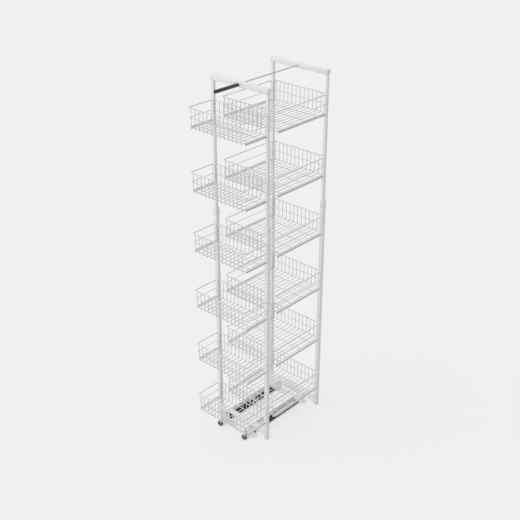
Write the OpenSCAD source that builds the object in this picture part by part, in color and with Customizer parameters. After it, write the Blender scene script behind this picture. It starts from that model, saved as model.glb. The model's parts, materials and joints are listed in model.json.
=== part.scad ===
// Pull-out larder unit: two upright frames that stand on a pair of floor
// runners and carry six shallow wire baskets in front and six deep ones behind.
// X runs across the unit, -Y is the way it pulls out, Z is up from the cabinet
// floor. Distances along Y are first given from a line just behind the front
// of the baskets.

/* [Baskets] */
// Outside width of every basket
basket_w = 315; // [313:1:318]
// Depth of the shallow baskets on the front frame
front_basket_d = 148; // [144:1:152]
// Depth of the deep baskets on the rear frame
rear_basket_d = 335; // [328:1:340]
// Height of a basket from its floor wires to the top of its rim
basket_h = 92; // [84:1:96]
// Number of basket levels
levels = 6; // [6:1:6]
// Height from one basket to the next
level_pitch = 286; // [284:1:288]
// Height of the lowest basket above the cabinet floor
first_level = 105; // [100:1:108]
// Upright wires in each end wall of a basket
mesh_count = 13; // [9:1:15]

/* [Wires] */
// Diameter of the rim wire
rim_wire = 5; // [4.5:0.1:5.4]
// Diameter of the mesh wires and of the belt wire halfway up
mesh_wire = 3.4; // [3:0.1:3.6]
// Centre line radius where a mesh wire turns from wall to floor
mesh_bend = 4.5; // [4:0.5:5.5]
// Centre line radius of the corners of the rim
corner_bend = 6; // [6:0.5:8]

/* [Frames] */
// Overall height of the frames above the cabinet floor
frame_h = 1733; // [1725:1:1740]
// Width of the square lower tubes
lower_tube = 18; // [18:0.5:19]
// Width of the square upper tubes
upper_tube = 13; // [12:0.5:13]
// Height of the joint where the upper tubes leave the lower ones
joint_z = 1124; // [1110:1:1130]
// Distance across the frame between the centres of its two tubes
tube_span = 305; // [304:0.5:306]
// Height of the top rails
rail_h = 22; // [20:0.5:24]
// Depth of the top rails
rail_d = 23; // [22:0.5:24]

/* [Runners] */
// Distance between the centres of the two floor runners
runner_span = 160; // [150:1:164]
// Height of the runners above the cabinet floor
runner_h = 56; // [56:0.5:57]
// Width of the steel runner sections
runner_w = 19; // [19:0.5:20]
// Diameter of the bearing balls
ball_d = 6; // [6:0.01:6.05]

/* [Hidden] */

// Places along the depth
front_basket_y = -5;
front_frame_y = 143.5;
rear_basket_y = 193;
rear_frame_y = 519.5;
unit_back_y = 539;
middle_y = (front_basket_y + unit_back_y) / 2;
arm_front_y = -2;
// From the ends of the side wires of a basket to the middle of the tubes
tube_behind = 11.5;
collar_w = 21;
boss_l = 3;
knob_l = 4;

// Tube walls and heights
lower_wall = 1.5;
upper_wall = 1.2;
tube_corner = 1.6;
inner_corner = 0.7;
plug_bottom = 5;
post_bottom = 8;
rail_z = frame_h - rail_h;
upper_bottom = joint_z - 134;
glide_h = 26;
glide_floor = 4;
glide_play = 0.1;
post_x = tube_span / 2;

// Top rails, arm and tie rod
rail_half = 158;
rail_back = 10.5;
rail_wall = 1.6;
rail_top_r = 4;
rail_foot_r = 2.6;
rail_taper = 5;
cap_t = 3;
rail_front_y = front_frame_y + rail_back - rail_d;
arm_z = rail_z + 10;
arm_w = 12;
arm_wall = 1.5;
arm_plug_l = 22;
arm_screw_x = 3;
arm_screw_r = 1.5;
arm_screw_l = 12;
arm_head_r = 2.7;
arm_head_l = 2;
panel_hole_r = 2.5;
panel_hole_l = 16;
rod_z = rail_z + 12.5;
rod_r = 3;
nut_t = 5;
nut_r = 5.5;

// Collars that close the top of the lower tubes
collar_bottom = joint_z - 27;
collar_top = joint_z + 6;
collar_corner = 2.5;
collar_play = 0.3;
clamp_z = joint_z - 14;
clamp_r = 2.5;
boss_r = 6;
knob_r = 5;

// Basket fixings
tab_w = 16;
tab_corner = 3;
tab_hole_z = 19;
bolt_r = 2.5;
bolt_play = 0.15;
bolt_head_r = 4.4;
bolt_head_l = 2.6;
side_rail_t = 4;
side_rail_bottom = -4;
side_rail_h = 12;
side_rail_inset = 1;
side_rail_groove = 1.6;
side_rail_lip = 2.4;
side_rail_start = 12;
lower_levels = 4;

// Runner sections, as heights above the cabinet floor
plate_t = 3;
section_wall = 2;
fixed_top = 31;
moving_bottom = 32;
lower_ball_z = 14;
upper_ball_z = 47;
ball_u = 5;
groove_r = ball_d / 2 + 0.05;
web_half = 2.5;
web_bottom = 8.2;
web_top = 51;
cage_t = 1.6;
cage_skin = 1.2;
cage_edge = 4.5;
lower_bridge_z = 5.8;
upper_bridge_z = 53;
ball_pitch = 24;
ball_play = 0.1;
middle_hole_r = 7;
middle_hole_pitch = 60;

// Lengths and places of the runner parts
fixed_y = [60, 508];
middle_span = [66, 498];
moving_y = [75, unit_back_y];
lower_cage_y = [178, 382];
upper_cage_y = [184, 424];
buffer_len = 7;
buffer_h = 25;
strip_y = [99, 432];
strip_w = 16;
strip_t = 0.8;

// Caps that grip the side walls of a fixed rail at both ends
shoe_len = 25;
shoe_t = 2;
shoe_front_t = 2.5;
shoe_bottom = 13;
shoe_top = 30;
shoe_slot_half = 3.4;

// Dark side covers, which slope back at the rear, and their pale strips
inner_cover_y = 120;
outer_cover_y = 218;
cover_end_y = 458;
cover_t = 1.8;
cover_bottom = 18;
cover_top = 54;
cover_slope = 1;
cover_gap = 0.5;
cover_edge = 3;
cover_raise = 1;
trim_y = [262, 428];
trim_z = [35, 51];
plug_y = [130, 184];
plug_z = 20;
plug_r = 5;
plug_t = 2;

// Floor plates and their screw holes
front_plate_y = 104;
rear_plate_y = 474;
plate_x = 102;
plate_len = 34;
plate_corner = 4;
floor_hole_r = 2.6;
floor_hole_u = 15.5;

// Cross plates
cross_t = 2.5;
cross_top = 66;
front_cross_bottom = 20;
rear_cross_bottom = 9;
flange_len = 22;
flange_inset = 12;
drain_r = 4;
notch_half = 15;
screw_r = 2.5;
screw_head_r = 5;
screw_head_l = 2.5;

mesh_r = mesh_wire / 2;
rim_r = rim_wire / 2;
wall_y = rim_r;
rim_z = basket_h - rim_r;
belt_z = basket_h / 2;
straight_half = basket_w / 2 - rim_r - corner_bend;
// The rear wall of a basket stands between the two tubes of its frame
rear_gap = 0.5;
rear_half = post_x - lower_tube / 2 - rear_gap;
mesh_half = rear_half - mesh_r - 1;
mesh_pitch = 2 * mesh_half / (mesh_count - 1);
side_rail_x = basket_w / 2 - side_rail_inset - side_rail_t;
// Hairline left at each weld between two groups of wires
weld_gap = 0.02;

// Puts the unit's mid depth on the origin
module placed() {
    translate([0, -middle_y, 0]) children();
}

module bar_x(length, radius) {
    rotate([0, 90, 0]) cylinder(h = length, r = radius, center = true, $fn = 24);
}

// A round bar along Y from y0 to y1
module bar_y(y0, y1, radius) {
    translate([0, y0, 0]) rotate([-90, 0, 0]) cylinder(h = y1 - y0, r = radius, $fn = 24);
}

module rounded_square(width, depth, radius) {
    square([width - 2 * radius, depth], center = true);
    square([width, depth - 2 * radius], center = true);
    for (x = [-1, 1], y = [-1, 1])
        translate([x * (width / 2 - radius), y * (depth / 2 - radius)]) circle(r = radius, $fn = 24);
}

// A slot with round ends, along X
module slot(length, width) {
    square([length - width, width], center = true);
    for (x = [-1, 1]) translate([x * (length - width) / 2, 0]) circle(d = width, $fn = 24);
}

module square_tube(width, wall, length) {
    linear_extrude(length) difference() {
        rounded_square(width, width, tube_corner);
        rounded_square(width - 2 * wall, width - 2 * wall, inner_corner);
    }
}

// Extrudes a section drawn across X and up Z along Y from y0 to y1
module along_y(y0, y1) {
    translate([0, y1, 0]) rotate([90, 0, 0]) linear_extrude(y1 - y0) children();
}

// Extrudes a section drawn across Y and up Z along X from x0 to x1
module across_x(x0, x1) {
    translate([x0, 0, 0]) rotate([90, 0, 90]) linear_extrude(x1 - x0) children();
}

// Quarter ring that leaves -Y and ends at -Z, about an axis along X
module wall_to_floor(radius, bend) {
    rotate([0, 90, 0]) rotate([0, 0, -90]) rotate_extrude(angle = 90, $fn = 48)
        translate([bend, 0]) circle(r = radius, $fn = 24);
}

// End wall of a basket: upright wires that turn into the floor, and a rim and a
// belt that reach half across to each side
module end_wall(half) {
    upright_z = mesh_r + mesh_bend;
    for (i = [0 : mesh_count - 1]) translate([-mesh_half + i * mesh_pitch, 0, upright_z]) {
        translate([0, wall_y, 0])
            cylinder(h = rim_z - rim_r - weld_gap - upright_z, r = mesh_r, $fn = 24);
        translate([0, wall_y + mesh_bend, 0]) wall_to_floor(mesh_r, mesh_bend);
    }
    translate([0, wall_y, rim_z]) bar_x(2 * half, rim_r);
    translate([0, wall_y, belt_z]) bar_x(2 * half, mesh_r);
}

// Floor of a basket: mesh wires from front to back over cross wires
module basket_floor(depth, side_depth, cross_count) {
    floor_y = wall_y + mesh_bend + weld_gap;
    for (i = [0 : mesh_count - 1]) translate([-mesh_half + i * mesh_pitch, 0, mesh_r])
        bar_y(floor_y, depth - floor_y, mesh_r);
    for (i = [1 : cross_count])
        translate([0, side_rail_start + (side_depth - side_rail_start) * (i - 0.5) / cross_count, mesh_r])
            bar_x(2 * (side_rail_x - weld_gap), mesh_r);
}

// Side wire at height z from its rounded front corner back to the tube's tab
module side_wire(side_depth, z, radius) {
    bend_y = wall_y + corner_bend;
    translate([straight_half + weld_gap, 0, z]) {
        translate([corner_bend, 0, 0]) bar_y(bend_y, side_depth - weld_gap, radius);
        translate([0, bend_y, 0]) rotate([0, 0, -90]) rotate_extrude(angle = 90, $fn = 48)
            translate([corner_bend, 0]) circle(r = radius, $fn = 24);
    }
}

// Rolled side rail that carries the basket, grooved outside, with the tab that
// joins the ends of rail and side wires to the front of the tube
module side_rail(side_depth, tab_t) {
    difference() {
        translate([side_rail_x, side_rail_start, side_rail_bottom])
            cube([side_rail_t, side_depth - weld_gap - side_rail_start, side_rail_h]);
        translate([side_rail_x + side_rail_t - side_rail_groove, side_rail_start - 1, side_rail_bottom + side_rail_lip])
            cube([side_rail_groove + 1, side_depth + 2, side_rail_h - 2 * side_rail_lip]);
    }
    difference() {
        translate([post_x, 0, (side_rail_bottom + basket_h) / 2]) along_y(side_depth, side_depth + tab_t)
            rounded_square(tab_w, basket_h - side_rail_bottom, tab_corner);
        translate([post_x, 0, tab_hole_z]) bar_y(side_depth - 1, side_depth + tab_t + 1, bolt_r + bolt_play);
    }
}

// One welded basket with its front at y = 0 and its floor at z = 0: its sides end
// at side_depth, in front of the tubes, and its rear wall stands between them
module basket(depth, side_depth, cross_count, tab_t) {
    end_wall(straight_half);
    translate([0, depth, 0]) mirror([0, 1, 0]) end_wall(rear_half);
    basket_floor(depth, side_depth, cross_count);
    for (side = [0, 1]) mirror([side, 0, 0]) {
        side_wire(side_depth, rim_z, rim_r);
        side_wire(side_depth, belt_z, mesh_r);
        side_rail(side_depth, tab_t);
    }
}

function level_z(level) = first_level + (level - 1) * level_pitch;
function tube_at(level) = level > lower_levels ? upper_tube : lower_tube;
function tab_at(level) = tube_behind - tube_at(level) / 2;

module front_basket(level) {
    color([0.80, 0.81, 0.82]) placed() translate([0, front_basket_y, level_z(level)])
        basket(front_basket_d, front_frame_y - tube_behind - front_basket_y, 2, tab_at(level));
}

module rear_basket(level) {
    color([0.80, 0.81, 0.82]) placed() translate([0, rear_basket_y, level_z(level)])
        basket(rear_basket_d, rear_frame_y - tube_behind - rear_basket_y, 4, tab_at(level));
}

// Bolts from behind each tube into the basket tabs of the given levels
module basket_bolts(first, last) {
    color([0.62, 0.63, 0.65]) placed()
        for (side = [-1, 1], level = [first : last], frame_y = [front_frame_y, rear_frame_y])
            translate([side * post_x, frame_y, level_z(level) + tab_hole_z]) {
                bar_y(-tube_behind, tube_at(level) / 2, bolt_r);
                translate([0, tube_at(level) / 2, 0]) bar_y(0, bolt_head_l, bolt_head_r);
            }
}

// Lower tube with bolt holes for its baskets and one for the clamp screw
module lower_post(side, frame_y) {
    color([0.90, 0.90, 0.90]) placed() translate([side * post_x, frame_y, 0]) difference() {
        translate([0, 0, post_bottom]) square_tube(lower_tube, lower_wall, joint_z - post_bottom);
        for (level = [1 : lower_levels]) translate([0, 0, level_z(level) + tab_hole_z])
            bar_y(-lower_tube, lower_tube, bolt_r + bolt_play);
        translate([0, 0, clamp_z]) bar_y(0, lower_tube, clamp_r + bolt_play);
    }
}

module upper_post(side, frame_y) {
    color([0.91, 0.91, 0.91]) placed() translate([side * post_x, frame_y, 0]) difference() {
        translate([0, 0, upper_bottom]) square_tube(upper_tube, upper_wall, rail_z - upper_bottom);
        for (level = [lower_levels + 1 : levels]) translate([0, 0, level_z(level) + tab_hole_z])
            bar_y(-lower_tube, lower_tube, bolt_r + bolt_play);
    }
}

// Moulded collar that closes a lower tube and holds its clamp screw
module collar(side, frame_y) {
    color([0.84, 0.84, 0.85]) placed() translate([side * post_x, frame_y, 0]) difference() {
        union() {
            translate([0, 0, collar_bottom]) linear_extrude(collar_top - collar_bottom)
                rounded_square(collar_w, collar_w, collar_corner);
            translate([0, 0, clamp_z]) bar_y(0, collar_w / 2 + boss_l, boss_r);
        }
        translate([0, 0, collar_bottom - 1]) linear_extrude(joint_z - collar_bottom + 1)
            rounded_square(lower_tube, lower_tube, tube_corner);
        translate([0, 0, collar_bottom]) linear_extrude(collar_top)
            square(upper_tube + 2 * collar_play, center = true);
        translate([0, 0, clamp_z]) bar_y(0, collar_w, clamp_r + bolt_play);
    }
}

// Thumb screws that hold the upper tubes at the set height
module clamp_screws() {
    color([0.45, 0.46, 0.48]) placed()
        for (side = [-1, 1], frame_y = [front_frame_y, rear_frame_y])
            translate([side * post_x, frame_y, clamp_z]) {
                bar_y(upper_tube / 2 + glide_play, collar_w / 2 + boss_l, clamp_r);
                translate([0, collar_w / 2 + boss_l, 0]) bar_y(0, knob_l, knob_r);
            }
}

// Plugs under the lower tubes
module foot_plugs() {
    color([0.86, 0.86, 0.86]) placed()
        for (side = [-1, 1], frame_y = [front_frame_y, rear_frame_y])
            translate([side * post_x, frame_y, plug_bottom]) linear_extrude(post_bottom - plug_bottom)
                rounded_square(lower_tube, lower_tube, tube_corner);
}

// Guides on the foot of each upper tube, which slide inside the lower tube
module glide_plugs() {
    inner = lower_tube - 2 * lower_wall - 2 * glide_play;
    color([0.25, 0.25, 0.26]) placed()
        for (side = [-1, 1], frame_y = [front_frame_y, rear_frame_y])
            translate([side * post_x, frame_y, upper_bottom - glide_floor]) difference() {
                linear_extrude(glide_h) rounded_square(inner, inner, inner_corner);
                translate([0, 0, glide_floor]) linear_extrude(glide_h)
                    rounded_square(upper_tube, upper_tube, tube_corner);
            }
}

// Points of an arc about [cx, cy] from angle a0 to a1
function arc(cx, cy, radius, a0, a1) =
    [for (i = [0 : 6]) [cx + radius * cos(a0 + (a1 - a0) * i / 6), cy + radius * sin(a0 + (a1 - a0) * i / 6)]];

// Section of a top rail: upright front face, rounded edges, cut away low behind
module rail_section(inset) {
    front = rail_back - rail_d + inset;
    back = rail_back - inset;
    top = rail_h - 2 * inset;
    top_r = rail_top_r - inset;
    foot_r = rail_foot_r - inset;
    translate([0, inset]) polygon(concat(
        arc(front + foot_r, foot_r, foot_r, 270, 180),
        arc(front + top_r, top - top_r, top_r, 180, 90),
        arc(back - top_r, top - top_r, top_r, 90, 0),
        [[back, 0.45 * rail_h - inset], [back - rail_taper, 0]]
    ));
}

module top_rail(frame_y) {
    color([0.93, 0.93, 0.93]) placed() translate([0, frame_y, rail_z]) across_x(-rail_half, rail_half)
        difference() {
            rail_section(0);
            rail_section(rail_wall);
        }
}

// The front top rail has two holes for the screws of the arm
module front_top_rail() {
    difference() {
        top_rail(front_frame_y);
        placed() for (side = [-1, 1]) translate([side * arm_screw_x, 0, arm_z])
            bar_y(rail_front_y - 1, rail_front_y + 2 * rail_wall, arm_screw_r + bolt_play);
    }
}

module rail_end_caps() {
    color([0.88, 0.88, 0.88]) placed()
        for (frame_y = [front_frame_y, rear_frame_y]) translate([0, frame_y, rail_z]) {
            across_x(rail_half, rail_half + cap_t) rail_section(0);
            across_x(-rail_half - cap_t, -rail_half) rail_section(0);
        }
}

// Arm from the front top rail to the cabinet's front panel: a square tube with a
// solid plug in each end
module top_arm() {
    color([0.13, 0.13, 0.14]) placed() translate([0, 0, arm_z]) difference() {
        union() {
            along_y(arm_front_y, rail_front_y) difference() {
                rounded_square(arm_w, arm_w, 1.5);
                rounded_square(arm_w - 2 * arm_wall, arm_w - 2 * arm_wall, 0.5);
            }
            for (plug_front = [arm_front_y, rail_front_y - arm_plug_l])
                along_y(plug_front, plug_front + arm_plug_l)
                    rounded_square(arm_w - arm_wall, arm_w - arm_wall, 1);
        }
        bar_y(arm_front_y - 1, arm_front_y + panel_hole_l, panel_hole_r);
        for (side = [-1, 1]) translate([side * arm_screw_x, 0, 0])
            bar_y(rail_front_y - arm_screw_l - 1, rail_front_y + 1, arm_screw_r + bolt_play);
    }
}

// Screws from inside the front top rail into the arm
module arm_screws() {
    color([0.2, 0.2, 0.2]) placed() for (side = [-1, 1])
        translate([side * arm_screw_x, rail_front_y + rail_wall, arm_z]) {
            bar_y(0, arm_head_l, arm_head_r);
            bar_y(-rail_wall - arm_screw_l, 0, arm_screw_r);
        }
}

// Rod between the two top rails, with a nut at each end
module tie_rod() {
    rod_y0 = front_frame_y + rail_back;
    rod_y1 = rear_frame_y + rail_back - rail_d;
    color([0.66, 0.67, 0.68]) placed() translate([0, 0, rod_z]) {
        bar_y(rod_y0, rod_y1, rod_r);
        for (y = [rod_y0 + nut_t, rod_y1]) translate([0, y, 0]) rotate([90, 0, 0])
            cylinder(h = nut_t, r = nut_r, $fn = 6);
    }
}

// Pressed plate that fixes both runners to the cabinet floor
module floor_plate(front_y) {
    color([0.80, 0.81, 0.82]) placed() translate([0, front_y + plate_len / 2, 0]) difference() {
        linear_extrude(plate_t) rounded_square(2 * plate_x, plate_len, plate_corner);
        for (side = [-1, 1], u = [-floor_hole_u, floor_hole_u])
            translate([side * runner_span / 2 + u, 0, -1])
                cylinder(h = plate_t + 2, r = floor_hole_r, $fn = 24);
        translate([0, 0, -1]) linear_extrude(plate_t + 2) slot(50, 18);
    }
}

// Fixed steel channel with a ball groove in each side wall
module floor_rail(side) {
    half_w = runner_w / 2;
    color([0.72, 0.73, 0.74]) placed() translate([side * runner_span / 2, 0, 0])
        along_y(fixed_y[0], fixed_y[1]) difference() {
            translate([-half_w, plate_t]) square([runner_w, fixed_top - plate_t]);
            translate([-half_w + section_wall, plate_t + section_wall])
                square([runner_w - 2 * section_wall, fixed_top]);
            for (u = [-1, 1]) translate([u * ball_u, lower_ball_z]) circle(r = groove_r, $fn = 24);
        }
}

// Moulded cap on the end of a fixed rail, slotted for the middle rail
module rail_shoe(side, end_y, inward) {
    half_w = runner_w / 2;
    shoe_half = half_w + shoe_t;
    height = shoe_top - shoe_bottom;
    color([0.30, 0.31, 0.32]) placed()
        translate([side * runner_span / 2, end_y, shoe_bottom]) mirror([0, inward > 0 ? 0 : 1, 0]) {
            for (u = [-1, 1]) translate([u * (half_w + shoe_t / 2), shoe_len / 2, height / 2])
                cube([shoe_t, shoe_len, height], center = true);
            difference() {
                translate([0, -shoe_front_t, height / 2]) rotate([-90, 0, 0])
                    linear_extrude(shoe_front_t) rounded_square(2 * shoe_half, height, 2);
                translate([-shoe_slot_half, -shoe_front_t - 1, -1])
                    cube([2 * shoe_slot_half, shoe_front_t + 2, height + 2]);
            }
        }
}

// Side view of a cover from front_y to its sloping rear end, drawn in by inset
module cover_outline(front_y, top, inset) {
    foot = cover_bottom + inset;
    head = top - inset;
    rear = cover_end_y - 2.4 * inset;
    polygon([
        [front_y + inset, foot], [rear, foot],
        [rear - cover_slope * (head - foot), head], [front_y + inset, head]
    ]);
}

// One cover: a sheet on the fixed rail that stands clear of the moving one
module cover_sheet(front_y) {
    half_w = runner_w / 2;
    face_u = half_w + cover_t;
    across_x(half_w, half_w + cover_gap) cover_outline(front_y, fixed_top - cover_gap, 0);
    across_x(half_w + cover_gap, face_u) cover_outline(front_y, cover_top, 0);
    across_x(face_u, face_u + cover_raise) difference() {
        cover_outline(front_y, cover_top, 0);
        cover_outline(front_y, cover_top, cover_edge);
    }
}

// Dark covers on both sides of a runner, and the two plugs ahead of the outer one
module rail_cover(side) {
    half_w = runner_w / 2;
    color([0.12, 0.12, 0.13]) placed() translate([side * runner_span / 2, 0, 0])
        mirror([side > 0 ? 0 : 1, 0, 0]) {
            cover_sheet(outer_cover_y);
            mirror([1, 0, 0]) cover_sheet(inner_cover_y);
            for (y = plug_y) translate([half_w, y, plug_z]) rotate([0, 90, 0])
                cylinder(h = plug_t, r = plug_r, $fn = 32);
        }
}

// Pale strip in the outer cover of each runner, round at the front
module cover_strips() {
    face_u = runner_w / 2 + cover_t;
    mid_z = (trim_z[0] + trim_z[1]) / 2;
    strip_half = (trim_z[1] - trim_z[0]) / 2;
    color([0.86, 0.86, 0.87]) placed() for (hand = [0, 1]) mirror([hand, 0, 0])
        translate([runner_span / 2, 0, 0]) across_x(face_u, face_u + cover_raise) {
            polygon([
                [trim_y[0], trim_z[0]], [trim_y[1], trim_z[0]],
                [trim_y[1] - cover_slope * 2 * strip_half, trim_z[1]], [trim_y[0], trim_z[1]]
            ]);
            translate([trim_y[0], mid_z]) circle(r = strip_half, $fn = 32);
        }
}

// Rubber stops at the rear of the fixed rails
module rail_buffers() {
    half_in = runner_w / 2 - section_wall;
    color([0.1, 0.1, 0.1]) placed() for (side = [-1, 1])
        translate([side * runner_span / 2 - half_in, fixed_y[1] - buffer_len, plate_t + section_wall])
            cube([2 * half_in, buffer_len, buffer_h]);
}

// Middle rail: a web with a ball groove on both faces, low and high
module middle_rail(side) {
    color([0.70, 0.71, 0.72]) placed() translate([side * runner_span / 2, 0, 0]) difference() {
        along_y(middle_span[0], middle_span[1]) difference() {
            translate([-web_half, web_bottom]) square([2 * web_half, web_top - web_bottom]);
            for (u = [-1, 1], z = [lower_ball_z, upper_ball_z])
                translate([u * ball_u, z]) circle(r = groove_r, $fn = 24);
        }
        for (hole_y = [middle_span[0] + 36 : middle_hole_pitch : middle_span[1] - 20])
            translate([0, hole_y, (lower_ball_z + upper_ball_z) / 2]) rotate([0, 90, 0])
                cylinder(h = runner_w, r = middle_hole_r, center = true, $fn = 32);
    }
}

// Ball cage: two strips joined across one edge of the middle rail, and balls
module ball_cage(side, span, ball_z, bridge_z, upward) {
    strip_far = ball_z + upward * cage_edge;
    z0 = min(bridge_z, strip_far);
    z1 = max(bridge_z, strip_far);
    ball_count = floor((span[1] - span[0] - 2 * ball_d) / ball_pitch) + 1;
    first_ball = (span[0] + span[1] - (ball_count - 1) * ball_pitch) / 2;
    color([0.55, 0.56, 0.58]) placed() translate([side * runner_span / 2, 0, 0]) {
        difference() {
            along_y(span[0], span[1]) {
                for (u = [-1, 1]) translate([u * ball_u - cage_t / 2, z0]) square([cage_t, z1 - z0]);
                translate([-ball_u, upward > 0 ? z0 : z1 - cage_skin]) square([2 * ball_u, cage_skin]);
            }
            for (i = [0 : ball_count - 1]) translate([0, first_ball + i * ball_pitch, ball_z])
                bar_x(runner_w, ball_d / 2 + ball_play);
        }
        for (i = [0 : ball_count - 1], u = [-1, 1])
            translate([u * ball_u, first_ball + i * ball_pitch, ball_z]) sphere(d = ball_d, $fn = 32);
    }
}

// Holes for the two carriage screws in the top of a moving rail
module carriage_holes() {
    for (frame_y = [front_frame_y, rear_frame_y])
        translate([0, frame_y - cross_t / 2 - flange_len / 2, runner_h - 2 * section_wall])
            cylinder(h = 3 * section_wall, r = screw_r + bolt_play, $fn = 24);
}

// Moving steel rail: a channel turned over, with a ball groove in each side wall
module moving_rail(side) {
    half_w = runner_w / 2;
    color([0.68, 0.69, 0.70]) placed() translate([side * runner_span / 2, 0, 0]) difference() {
        along_y(moving_y[0], moving_y[1]) difference() {
            translate([-half_w, moving_bottom]) square([runner_w, runner_h - moving_bottom]);
            translate([-half_w + section_wall, moving_bottom - 1])
                square([runner_w - 2 * section_wall, runner_h - section_wall - moving_bottom + 1]);
            for (u = [-1, 1]) translate([u * ball_u, upper_ball_z]) circle(r = groove_r, $fn = 24);
        }
        translate([-strip_w / 2, strip_y[0], runner_h - strip_t])
            cube([strip_w, strip_y[1] - strip_y[0], 2 * strip_t]);
        carriage_holes();
    }
}

// Grey strips let into the tops of the moving rails
module top_strips() {
    color([0.55, 0.56, 0.57]) placed() for (side = [-1, 1])
        translate([side * runner_span / 2, 0, 0]) difference() {
            translate([-strip_w / 2, strip_y[0], runner_h - strip_t])
                cube([strip_w, strip_y[1] - strip_y[0], strip_t]);
            carriage_holes();
        }
}

// Folded plate between the two lower tubes of a frame, on top of both runners
module cross_plate(frame_y, bottom) {
    inner_x = post_x - lower_tube / 2;
    web_y = frame_y - cross_t / 2;
    color([0.92, 0.92, 0.92]) placed() difference() {
        union() {
            translate([-inner_x, web_y, bottom]) cube([2 * inner_x, cross_t, cross_top - bottom]);
            translate([-inner_x + flange_inset, web_y - flange_len, runner_h])
                cube([2 * (inner_x - flange_inset), flange_len, cross_t]);
            for (side = [-1, 1]) translate([side * (inner_x - cross_t / 2), frame_y, (bottom + cross_top) / 2])
                cube([cross_t, lower_tube - 2, cross_top - bottom], center = true);
        }
        for (side = [-1, 1]) {
            translate([side * runner_span / 2 - notch_half, web_y - 1, 0])
                cube([2 * notch_half, cross_t + 2, runner_h]);
            translate([side * runner_span / 2, web_y - flange_len / 2, 0])
                cylinder(h = cross_top, r = screw_r + bolt_play, $fn = 24);
            translate([side * (inner_x - 2 * flange_inset), web_y - flange_len / 2, 0])
                cylinder(h = cross_top, r = drain_r, $fn = 24);
        }
        translate([0, web_y - flange_len / 2, runner_h - 1]) linear_extrude(cross_t + 2)
            slot(60, 9);
    }
}

// Screws through the cross plates into the moving rails
module carriage_screws() {
    color([0.5, 0.5, 0.52]) placed()
        for (side = [-1, 1], frame_y = [front_frame_y, rear_frame_y])
            translate([side * runner_span / 2, frame_y - cross_t / 2 - flange_len / 2, runner_h]) {
                translate([0, 0, -section_wall])
                    cylinder(h = section_wall + cross_t, r = screw_r, $fn = 24);
                translate([0, 0, cross_t]) cylinder(h = screw_head_l, r = screw_head_r, $fn = 24);
            }
}

floor_plate(front_plate_y);  // floor_plate_front
floor_plate(rear_plate_y);  // floor_plate_rear
floor_rail(-1);  // floor_rail_left
floor_rail(1);  // floor_rail_right
rail_shoe(-1, fixed_y[0], 1);  // rail_shoe_front_left
rail_shoe(1, fixed_y[0], 1);  // rail_shoe_front_right
rail_shoe(-1, fixed_y[1], -1);  // rail_shoe_rear_left
rail_shoe(1, fixed_y[1], -1);  // rail_shoe_rear_right
rail_cover(-1);  // rail_cover_left
rail_cover(1);  // rail_cover_right
cover_strips();
rail_buffers();
middle_rail(-1);  // middle_rail_left
middle_rail(1);  // middle_rail_right
ball_cage(-1, lower_cage_y, lower_ball_z, lower_bridge_z, 1);  // lower_ball_cage_left
ball_cage(1, lower_cage_y, lower_ball_z, lower_bridge_z, 1);  // lower_ball_cage_right
ball_cage(-1, upper_cage_y, upper_ball_z, upper_bridge_z, -1);  // upper_ball_cage_left
ball_cage(1, upper_cage_y, upper_ball_z, upper_bridge_z, -1);  // upper_ball_cage_right
moving_rail(-1);  // moving_rail_left
moving_rail(1);  // moving_rail_right
top_strips();
cross_plate(front_frame_y, front_cross_bottom);  // cross_plate_front
cross_plate(rear_frame_y, rear_cross_bottom);  // cross_plate_rear
carriage_screws();
lower_post(-1, front_frame_y);  // lower_post_front_left
lower_post(1, front_frame_y);  // lower_post_front_right
lower_post(-1, rear_frame_y);  // lower_post_rear_left
lower_post(1, rear_frame_y);  // lower_post_rear_right
foot_plugs();
collar(-1, front_frame_y);  // collar_front_left
collar(1, front_frame_y);  // collar_front_right
collar(-1, rear_frame_y);  // collar_rear_left
collar(1, rear_frame_y);  // collar_rear_right
clamp_screws();
front_basket(1);  // front_basket_1
front_basket(2);  // front_basket_2
front_basket(3);  // front_basket_3
front_basket(4);  // front_basket_4
rear_basket(1);  // rear_basket_1
rear_basket(2);  // rear_basket_2
rear_basket(3);  // rear_basket_3
rear_basket(4);  // rear_basket_4
basket_bolts(1, lower_levels);  // lower_basket_bolts
upper_post(-1, front_frame_y);  // upper_post_front_left
upper_post(1, front_frame_y);  // upper_post_front_right
upper_post(-1, rear_frame_y);  // upper_post_rear_left
upper_post(1, rear_frame_y);  // upper_post_rear_right
glide_plugs();
front_top_rail();  // top_rail_front
top_rail(rear_frame_y);  // top_rail_rear
rail_end_caps();
top_arm();
arm_screws();
tie_rod();
front_basket(5);  // front_basket_5
front_basket(6);  // front_basket_6
rear_basket(5);  // rear_basket_5
rear_basket(6);  // rear_basket_6
basket_bolts(lower_levels + 1, levels);  // upper_basket_bolts
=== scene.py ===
import json
import math

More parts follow.
